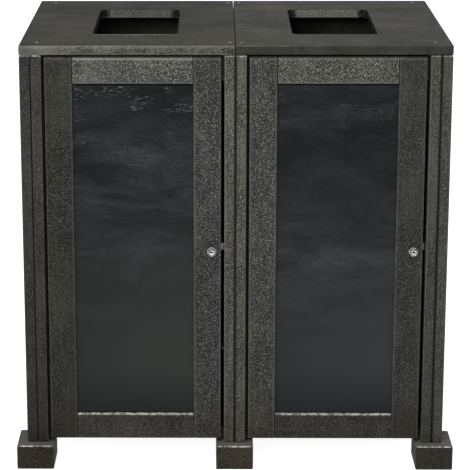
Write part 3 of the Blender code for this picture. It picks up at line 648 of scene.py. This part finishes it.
# the boards' colours are partly their own tone and partly painted light: the top rails are painted lighter and
# the bottom rails darker, as the light falls off downwards
DOOR_BOARDS = {
    # piece: (colour, seed, grain, contrast, painted highlight on the ledge, painted shade and browning at the
    # foot, painted highlight on the crest)
    "left_door_hinge_stile": ("#3b3c36", 41, 0.80, 1.6, 0.0, 0.83, 1.0, 0.06),
    "left_door_lock_stile": ("#535450", 42, 1.05, 1.7, 0.0, 0.76, 1.0, 0.06),
    "left_door_top_rail": ("#686964", 43, 1.20, 1.4, 0.0, 1.00, 0.0, 0.26),
    "left_door_bottom_rail": ("#413f3c", 44, 1.10, 1.4, 1.0, 1.00, 0.25, 0.0),
    "right_door_hinge_stile": ("#565752", 45, 1.00, 1.4, 0.0, 0.75, 1.3, 0.06),
    "right_door_lock_stile": ("#41423e", 46, 0.75, 1.5, 0.0, 0.94, 1.3, 0.06),
    "right_door_top_rail": ("#676862", 47, 1.10, 1.35, 0.0, 1.00, 0.0, 0.07),
    "right_door_bottom_rail": ("#3e3d3a", 48, 1.10, 1.4, 1.0, 1.00, 0.25, 0.0),
}
for piece, (*board, crest_highlight) in DOOR_BOARDS.items():
    rail = piece.endswith("rail")
    lumber(piece, *board, seams=(-1, 1) if rail else (), crest_highlight=crest_highlight, level=rail, ease=0.0035, wear_and_highlight=0.5,
           shade_under_top=0.0 if "bottom" in piece else SHADE_UNDER_TOP)

# Windows: a dark tinted acrylic sheet in each door's rebate, with a dark backing board behind it.
# Pale soft level drifts lie on the acrylic, fine dust and a painted reflection of the floor pale its lower
# half, and a few painted glints lie near the top.


def acrylic(piece, colour, drift_colour, dust_and_reflection_colour, seed, painted_glint, drift_by_height):
    """Tinted cast acrylic: glossy and near black, with pale drifts whose amount is given by height, a dusty
    lower half with a painted floor reflection, and painted glints.
    """
    low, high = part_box(piece)
    finish, tree = new_finish(f"tinted_acrylic_{piece}")
    place = add(tree, "TexCoord").outputs["Object"]
    x, _, z = add(tree, "SeparateXYZ", {"Vector": place}).outputs
    shifted = add(tree, "Mapping", {"Vector": place, "Location": (seed * 0.37, 0.0, seed * 0.73)})

    # drifts about 150 mm long and 25 mm high, bent by slower waves, with fine ripples across them
    wave = add(tree, "TexNoise", {"Vector": shifted, "Scale": 6.0, "Detail": 1.0})
    bent = add(tree, "Mix", {0: 0.12, 4: shifted, 5: wave.outputs["Color"]}, data_type="VECTOR")
    pale_drifts = patches(tree, bent, (5.5, 1.0, 20.0), 6.0, (0.40, 0.68), roughness=0.68)
    ripple = patches(tree, bent, (90.0, 1.0, 260.0), 3.0, (0.35, 0.65), (0.55, 1.35), roughness=0.7)
    amount = add(tree, "ValToRGB", {0: z}, [(stop, (share, share, share, 1.0)) for stop, share in drift_by_height])
    for share in (ripple, amount):
        pale_drifts = add(tree, "Math", {0: pale_drifts, 1: share}, operation="MULTIPLY")

    # the lower half is paler, less at the very foot and towards the hinges: fine dust with a painted
    # reflection of the floor
    dust_and_reflection = faded(tree, 0.52, (z, 0.72, 0.30), (z, 0.14, 0.24, 0.30, 1.0), (x, low.x, high.x, 0.7, 1.1))

    # painted glints: level dashes 10 mm long and 2 mm high, in groups, in the top fifth
    painted_glint_dash = patches(tree, shifted, (85.0, 1.0, 380.0), 2.0, (0.56, 0.78))
    group = patches(tree, shifted, (14.0, 1.0, 34.0), 2.0, (0.48, 0.66))
    painted_glint_dash = add(tree, "Math", {0: painted_glint_dash, 1: group}, operation="MULTIPLY")
    painted_glint_dash = faded(tree, painted_glint_dash, (z, high.z - 0.20, high.z - 0.05, 0.0, painted_glint))

    coats = [(pale_drifts, linear(drift_colour), "MIX"), (dust_and_reflection, linear(dust_and_reflection_colour), "MIX"),
             (painted_glint_dash, linear("#8a8c90"), "MIX")]
    gloss = add(tree, "MapRange", {0: pale_drifts, 3: 0.10, 4: 0.30})
    dress(piece, shade(finish, linear(colour), coats, gloss, None, {"IOR": 1.49, "Specular IOR Level": 0.10}))


acrylic("left_door_window", "#0d1013", "#3a3f42", "#3d403c", 3, 1.0, (
    (0.30, 0.05), (0.50, 0.45), (0.62, 0.65), (0.72, 0.85), (0.80, 0.75), (0.86, 0.35), (0.94, 0.30)))
acrylic("right_door_window", "#0c1013", "#3a4043", "#3f4242", 8, 0.25, (
    (0.30, 0.05), (0.42, 0.45), (0.52, 0.80), (0.60, 0.60), (0.68, 0.30), (0.78, 0.30), (0.84, 0.55),
    (0.94, 0.40)))

# shade strips: a black strip, dull and full of cells, fills the corner between each top rail and the acrylic,
# as painted shade under the rail
SHADE_STRIP_HEIGHT = 0.0045
SHADE_STRIP_DEPTH = 0.004
SHADE_STRIP_EASE = 0.0008
SHADE_STRIP_SIDE_GAP = 0.0002
SHADE_STRIP_GAP = 0.0001
SHADE_STRIP, tree = new_finish("black_shade_strip")
cells = add(tree, "TexVoronoi", {"Vector": add(tree, "TexCoord").outputs["Object"], "Scale": 900.0})
shade(SHADE_STRIP, linear("#0a0a0a"), [(cells, linear("#121212"), "MIX")], 0.9, (cells, 0.5, 0.0003),
      {"Specular IOR Level": 0.05})
for side in BAYS:
    stile_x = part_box(f"{side}_door_hinge_stile")[1].x
    far_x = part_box(f"{side}_door_lock_stile")[0].x
    under_rail_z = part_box(f"{side}_door_top_rail")[0].z
    sheet_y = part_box(f"{side}_door_window")[0].y
    bm = bmesh.new()
    eased_box(bm, (stile_x + SHADE_STRIP_SIDE_GAP, sheet_y - SHADE_STRIP_DEPTH, under_rail_z - SHADE_STRIP_HEIGHT),
              (far_x - SHADE_STRIP_SIDE_GAP, sheet_y - SHADE_STRIP_GAP, under_rail_z - SHADE_STRIP_GAP), SHADE_STRIP_EASE)
    shade_strip = new_piece(f"{side}_window_head_seal", bm, SHADE_STRIP)
    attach(shade_strip, f"{side}_door")

# Backing boards: dark moulded board behind each window, held in the rebate by cranked spring-steel clips
# that are screwed to the backs of the stiles.
BACKING = moulded("moulded_backing_board", "#1d1d1d", "#262626")
CLIP_COUNT = 5
CLIP_WIDTH = 0.012
CLIP_GAUGE = 0.0009
CLIP_EASE = 0.0002
CLIP_MARGIN = 0.055
CLIP_SCREW_X = 0.006
CLIP_SCREW_HEAD = 0.0016
CLIP_SCREW = screw_pattern("clip_screw", [
    (0.0016, 0.0), (0.0028, -0.0004), (0.0034, -0.0012), (0.0034, -CLIP_SCREW_HEAD),
    (0.0015, -CLIP_SCREW_HEAD), (0.0004, -0.012),
], arm=0.0014, depth=0.0009)


def cranked_clip(name, way, drop):
    """Clip from the stile, at x = 0, down on to the board, towards way: a strip bent in a flat Z."""
    edge = CLIP_WIDTH / 2
    section = ((0, -edge), (CLIP_GAUGE, -edge), (CLIP_GAUGE, edge), (0, edge))
    bm = bmesh.new()
    bridge(bm, [[bm.verts.new((way * x, y + rise, z)) for rise, z in section]
                for x, y in ((-0.011, 0.0), (0.0015, 0.0), (0.0035, -drop), (0.011, -drop))], "capped")
    corners = [edge for edge in bm.edges if abs(edge.verts[0].co.z - edge.verts[1].co.z) < 1e-6]
    bmesh.ops.bevel(bm, geom=corners, offset=CLIP_EASE, segments=1, affect="EDGES")
    return new_piece(name, bm, ZINC)


# this tree repeats a pattern along a line, beside the mesh that it is given
ROW_TREE, given = new_tree("repeat_in_a_row", Base="Geometry", Pattern="Object", Count="Int", First="Vector",
                           Step="Vector", Finish="Material")
line = add(ROW_TREE, "GeometryNodeMeshLine", {
    "Count": given["Count"], "Start Location": given["First"], "Offset": given["Step"]}, mode="OFFSET")
repeat_pattern(ROW_TREE, given, line, beside=given["Base"])

for side in BAYS:
    dress(f"{side}_door_backing_board", BACKING)
    board_low, board_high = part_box(f"{side}_door_backing_board")
    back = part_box(f"{side}_door_lock_stile")[1].y
    first_z = board_low.z + CLIP_MARGIN
    step = (board_high.z - board_low.z - 2 * CLIP_MARGIN) / (CLIP_COUNT - 1)
    spots = []
    screw_y = back + CLIP_GAUGE + CLIP_SCREW_HEAD
    for hand, way, edge in (("hinge", 1, board_low.x), ("lock", -1, board_high.x)):
        pattern = cranked_clip("clip_pattern", way, back - board_high.y)
        clips = grown(f"{side}_{hand}_side_clips", ROW_TREE, bpy.data.meshes.new("clip_row"), {
            "Pattern": pattern, "Count": CLIP_COUNT, "First": (edge, back, first_z), "Step": (0, 0, step),
            "Finish": ZINC})
        bpy.data.objects.remove(pattern)
        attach(clips, f"{side}_door")
        for i in range(CLIP_COUNT):
            spots.append(((edge - way * CLIP_SCREW_X, screw_y, first_z + i * step), (0, 1, 0)))
    clip_screws = set_screws(f"{side}_clip_screws", CLIP_SCREW, spots, 12)
    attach(clip_screws, f"{side}_door")

# Hinges: a continuous hinge of black-coated steel hangs each door on its wall. Its two leaves carry rolled
# knuckles in turn on one long pin, and are held by small countersunk screws.
KNUCKLES = 33
KNUCKLE_SIDES = 16
KNUCKLE_EASE = 0.0003
KNUCKLE_GAP = 0.0004
LEAF_GAUGE = 0.0012
LEAF_EASE = 0.0002
PIN_RADIUS = 0.0012
PIN_BORE = 0.0014
LEAF_SCREWS = 10
LEAF_SCREW_INSET = 0.0065
LEAF_SCREW_PROUD = 0.0001
HINGE_SCREW = screw_pattern("hinge_screw", [
    (0.0021, 0.0), (0.0025, -0.0002), (0.0025, -0.0004), (0.0012, -0.0016), (0.0012, -0.010),
    (0.0003, -0.012),
], arm=0.0014, depth=0.0009)

# black electro-coated steel: low sheen, with bare grey rubbed through in specks
COATED, tree = new_finish("black_coated_steel")
place = add(tree, "TexCoord").outputs["Object"]
speck = add(tree, "TexNoise", {"Vector": place, "Scale": 420.0, "Detail": 3.0})
rubbed = add(tree, "MapRange", {0: speck, 1: 0.60, 2: 0.72})
gloss = add(tree, "MapRange", {0: speck, 3: 0.50, 4: 0.75})
shade(COATED, linear("#0a0a09"), [(rubbed, linear("#1b1a18"), "MIX")], gloss, (speck, 0.3, 0.0001),
      {"Specular IOR Level": 0.03})


def tube(bm, outline, centre, sides, axis):
    """Ring-shaped solid from (radius, distance along the axis) pairs, closed on itself."""
    loops = []
    for radius, along in outline:
        loop = []
        for i in range(sides):
            turn = math.tau * i / sides
            u, v = radius * math.cos(turn), radius * math.sin(turn)
            offset = (u, v, along) if axis == "Z" else (u, along, v)
            loop.append(bm.verts.new([c + o for c, o in zip(centre, offset)]))
        loops.append(loop)
    bridge(bm, loops, "closed")


for side in BAYS:
    wall_low, wall_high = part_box(f"{side}_wall_hinge_leaf")
    door_far_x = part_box(f"{side}_door_hinge_leaf")[1].x
    pin_low, pin_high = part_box(f"{side}_hinge_pin")
    axis_x, axis_y = (pin_low.x + pin_high.x) / 2, (pin_low.y + pin_high.y) / 2
    length = pin_high.z - pin_low.z
    pitch = length / KNUCKLES
    half = (pitch - KNUCKLE_GAP) / 2
    radius = axis_y - wall_low.y
    bm = bmesh.new()
    tube(bm, [(PIN_BORE, -half), (radius - KNUCKLE_EASE, -half), (radius, KNUCKLE_EASE - half),
              (radius, half - KNUCKLE_EASE), (radius - KNUCKLE_EASE, half), (PIN_BORE, half)],
         (0, 0, 0), KNUCKLE_SIDES, "Z")
    pattern = new_piece("knuckle", bm, COATED)
    smooth(pattern)
    for leaf, plate_x, first, body, way in (("wall", wall_low.x, 0, "cabinets", 1),
                                            ("door", door_far_x - LEAF_GAUGE, 1, f"{side}_door", -1)):
        bm = bmesh.new()
        eased_box(bm, (plate_x, axis_y + PIN_RADIUS, pin_low.z),
                  (plate_x + LEAF_GAUGE, wall_high.y, pin_high.z), LEAF_EASE)
        plate = new_piece("leaf_plate", bm, COATED)
        piece = grown(f"{side}_{leaf}_hinge_knuckles", ROW_TREE, plate.data, {
            "Pattern": pattern, "Count": (KNUCKLES + 1 - first) // 2,
            "First": (axis_x, axis_y, pin_low.z + (first + 0.5) * pitch), "Step": (0, 0, 2 * pitch),
            "Finish": COATED})
        bpy.data.objects.remove(plate)
        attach(piece, body)
        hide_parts(f"{side}_{leaf}_hinge_leaf")
        face_x = plate_x + LEAF_GAUGE + LEAF_SCREW_PROUD if way > 0 else plate_x - LEAF_SCREW_PROUD
        screw_y = wall_high.y - LEAF_SCREW_INSET
        spots = [((face_x, screw_y, pin_low.z + (i + 0.5) * length / LEAF_SCREWS), (way, 0, 0))
                 for i in range(LEAF_SCREWS)]
        screws = set_screws(f"{side}_{leaf}_hinge_screws", HINGE_SCREW, spots, 20)
        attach(screws, body)
    bpy.data.objects.remove(pattern)
    bm = bmesh.new()
    tube(bm, [(0.00005, pin_low.z - 0.0006), (0.0009, pin_low.z - 0.0004), (PIN_RADIUS, pin_low.z),
              (PIN_RADIUS, pin_high.z), (0.0009, pin_high.z + 0.0004), (0.00005, pin_high.z + 0.0006)],
         (axis_x, axis_y, 0), KNUCKLE_SIDES, "Z")
    pin = new_piece(f"{side}_hinge_rod", bm, COATED)
    smooth(pin)
    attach(pin, "cabinets")
    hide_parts(f"{side}_hinge_pin")

# Locks: a chromed cam lock through each lock stile. Its flange and collar stand on the stile's face, and the
# plug turns in them. Behind the door a zinc nut holds the housing, and a zinc cam turns with the plug.

# polished chrome mirrors the lamps between painted dark reflections, and the keyway's bed is painted black as
# shade
CHROME = plated("polished_chrome", "#c8c9c9", 0.08, 0.20, 330.0, 0.00012, spot_tone=0.22, spots=(0.46, 0.62))
SHADOWED = plated("shadowed_keyway", "#121212", 0.50, 0.20, 500.0, 0.00005)
LOCK_SIDES = 48
THREAD_TURNS = 19
THREAD_PITCH = 0.0015
PLUG_SUNK = 0.0012
KEYWAY_DEPTH = 0.005
# the collar's mouth and rolled rim: radius, and distance behind its front
COLLAR = ((0.0072, 0.0040), (0.0081, 0.0036), (0.0083, 0.0012), (0.0085, 0.0003), (0.0088, 0.0),
          (0.0091, 0.0002), (0.0095, 0.0007), (0.0097, 0.0014), (0.0098, 0.0024))
# a groove and the flange's round rim: radius, and distance before the stile's face
FLANGE = ((0.0098, 0.0040), (0.0094, 0.0034), (0.0094, 0.0024), (0.0099, 0.0019), (0.0104, 0.0018),
          (0.0107, 0.0014), (0.0108, 0.0009), (0.0108, 0.0003), (0.0092, 0.0003))
# one thread: radius, and distance along the barrel
THREAD = ((0.0087, 0.0), (0.0092, 0.00045), (0.0092, 0.0006), (0.0087, 0.00105))
# the plug's face is dished round a keyway with one raised ward
ARCH = [(0.0046, 0.0), (0.0044, 0.0010), (0.0036, 0.0014), (0.0027, 0.0019), (0.0018, 0.0027), (0.0, 0.0033)]
KEYWAY = ARCH + [(-x, z) for x, z in reversed(ARCH[:-1])]
KEYWAY += [(x * 0.001, -0.0012) for x in (-4.3, -3.4, -2.2, -1.1, 0.0, 1.1, 2.2, 3.4, 4.3)]


def lay_along(bm, centre):
    """Turns a solid from local Z to world -Y, and sets it at its place."""
    for vert in bm.verts:
        x, y, z = vert.co
        vert.co = (centre[0] + x, centre[1] - z, centre[2] + y)


def eased_copy(name, node, ease, finish):
    """Copy of a CAD node with its edges rounded, as on a punched and tumbled piece."""
    bm = bmesh.new()
    bm.from_mesh(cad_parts[node].data)
    bmesh.ops.remove_doubles(bm, verts=bm.verts, dist=0.00001)
    bmesh.ops.dissolve_limit(bm, angle_limit=math.radians(2), verts=bm.verts, edges=bm.edges)
    corners = [e for e in bm.edges if e.is_manifold and e.calc_face_angle() > math.radians(40)]
    bmesh.ops.bevel(bm, geom=corners, offset=ease, segments=2, profile=0.5, affect="EDGES")
    bmesh.ops.triangulate(bm, faces=[face for face in bm.faces if len(face.verts) > 4])
    thing = new_piece(name, bm, finish)
    smooth(thing)
    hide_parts(node)
    return thing


for side in BAYS:
    house_low, house_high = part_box(f"{side}_lock_housing")
    centre = ((house_low.x + house_high.x) / 2, 0, (house_low.z + house_high.z) / 2)
    front, tail = house_low.y, house_high.y
    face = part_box(f"{side}_door_lock_stile")[0].y
    outline = [(radius, front + back) for radius, back in COLLAR]
    outline += [(radius, face - ahead) for radius, ahead in FLANGE]
    for i in range(THREAD_TURNS):
        start = face + 0.0006 + i * THREAD_PITCH
        outline += [(radius, start + along) for radius, along in THREAD]
    outline += [(0.0088, tail - 0.0004), (0.0085, tail), (0.0072, tail)]
    bm = bmesh.new()
    tube(bm, outline, centre, LOCK_SIDES, "Y")
    housing = new_piece(f"{side}_lock_collar", bm, CHROME)
    smooth(housing)
    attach(housing, f"{side}_door")
    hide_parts(f"{side}_lock_housing")

    plug_front = front + PLUG_SUNK
    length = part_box(f"{side}_lock_plug")[1].y - plug_front
    shoulder = tail - plug_front
    rings = [(0.0047, 0.0), (0.0050, -0.0006), (0.0055, -0.0006), (0.0058, -0.0001), (0.0062, -0.0001),
             (0.0065, -0.0004), (0.0066, -0.0010), (0.0068, -0.0030),
             (0.0068, -shoulder), (0.0032, -shoulder), (0.0032, -length), (0.0046, -length),
             (0.0046, -length - 0.0006), (0.0036, -length - 0.0012), (0.0020, -length - 0.0015)]
    bm = bmesh.new()
    recessed_rings(bm, KEYWAY, KEYWAY_DEPTH, rings, floor_scale=0.9, floor_index=1)
    lay_along(bm, (centre[0], plug_front, centre[2]))
    plug = new_piece(f"{side}_lock_key_plug", bm, CHROME)
    plug.data.materials.append(SHADOWED)
    smooth(plug)
    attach(plug, f"{side}_lock")
    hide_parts(f"{side}_lock_plug")

    cam = eased_copy(f"{side}_tumbled_cam", f"{side}_lock_cam", 0.0004, ZINC)
    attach(cam, f"{side}_lock")
    nut = eased_copy(f"{side}_chamfered_nut", f"{side}_lock_nut", 0.0004, ZINC)
    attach(nut, f"{side}_door")

# Keepers: an angle of bent steel on each wall, behind the lock stile, in zinc painted darker and duller as
# shade. Two screws hold it, and the cam turns behind it.
KEEPER_GAUGE = 0.002
KEEPER_PROUD = 0.0001
spots = []
for side in BAYS:
    keeper = eased_copy(f"{side}_bent_keeper", f"{side}_keeper", 0.0003, SHADED_DULL_ZINC)
    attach(keeper, "cabinets")
    low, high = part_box(f"{side}_keeper")
    for share in (0.55, 0.82):
        spots.append(((high.x - KEEPER_GAUGE - KEEPER_PROUD, low.y + share * (high.y - low.y),
                       (low.z + high.z) / 2), (-1, 0, 0)))
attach(set_screws("keeper_screws", PANEL_SCREW, spots, 31), "cabinets")
for pattern in (PANEL_SCREW, TOP_SCREW, CLIP_SCREW, HINGE_SCREW):
    bpy.data.objects.remove(pattern)

# Studio: a white floor and a white surround. Camera, mirror and clear rays see them white, and the floor
# still shows the station's shadow. Soft lamps stand in front and overhead.
FLOOR_HALF = 14.0
floor_mesh = bpy.data.meshes.new("studio_floor")
floor_mesh.from_pydata([(x * FLOOR_HALF, y * FLOOR_HALF, 0) for x, y in ((-1, -1), (1, -1), (1, 1), (-1, 1))],
                       [], [(0, 1, 2, 3)])
floor = bpy.data.objects.new("studio_floor", floor_mesh)
bpy.context.scene.collection.objects.link(floor)


def seen(tree, direct, mirrored):
    """One amount for the camera's rays, another for mirror and clear rays, and nothing for diffuse light."""
    rays = add(tree, "LightPath").outputs
    total = add(tree, "Math", {0: rays["Is Glossy Ray"], 1: rays["Is Transmission Ray"]}, operation="MAXIMUM")
    total = add(tree, "Math", {0: total, 1: mirrored}, operation="MULTIPLY")
    return add(tree, "Math", {0: rays["Is Camera Ray"], 1: direct, 2: total}, operation="MULTIPLY_ADD")


paper, tree = new_finish("white_studio_floor")
lit = add(tree, "BsdfDiffuse", {"Color": linear("#e6e6e6")})
white = add(tree, "Emission", {"Color": (1.0, 1.0, 1.0, 1.0), "Strength": seen(tree, 0.93, 0.78)})
add(tree, "OutputMaterial", {"Surface": add(tree, "AddShader", {0: lit, 1: white})})
floor_mesh.materials.append(paper)

world = bpy.data.worlds.new("white_studio")
bpy.context.scene.world = world
world.use_nodes = True
tree = world.node_tree
tree.nodes.clear()
strength = add(tree, "Math", {0: seen(tree, 0.50, 0.50), 1: 0.50}, operation="ADD")
surround = add(tree, "Background", {"Color": (1.0, 1.0, 1.0, 1.0), "Strength": strength})
add(tree, "OutputWorld", {"Surface": surround})

LAMPS = {
    # lamp: (place, what it points at, width, watts)
    "front_softbox": ((-1.3, -3.8, 3.0), (0.0, 0.0, 0.5), 2.4, 95.0),
    "overhead_softbox": ((0.2, -0.9, 3.6), (0.0, 0.0, 0.9), 2.2, 24.0),
}
for name, (place, target, width, watts) in LAMPS.items():
    lamp = bpy.data.lights.new(name, "AREA")
    lamp.shape = "SQUARE"
    lamp.size = width
    lamp.energy = watts
    holder = bpy.data.objects.new(name, lamp)
    holder.location = place
    holder.rotation_euler = (Vector(target) - Vector(place)).to_track_quat("-Z", "Y").to_euler()
    bpy.context.scene.collection.objects.link(holder)

# Camera: high, a little left of the middle and tilted down, as the photograph was taken.
# The shift sets the station where the photograph's frame has it.
TILT_DOWN = 14.066
TURN_LEFT = 0.705
ROLL = -0.14
camera_data = bpy.data.cameras.new("camera")
camera_data.lens = 149.92
camera_data.sensor_width = 36.0
camera_data.shift_x = 0.0957
camera_data.shift_y = -0.15
camera = bpy.data.objects.new("camera", camera_data)
camera.location = (-0.0512, -4.7356, 1.8566)
camera.rotation_euler = (math.radians(90 - TILT_DOWN), 0, math.radians(TURN_LEFT))
camera.rotation_euler.rotate_axis("Z", math.radians(ROLL))
bpy.context.scene.collection.objects.link(camera)
bpy.context.scene.camera = camera
bpy.context.scene.view_settings.view_transform = "Standard"
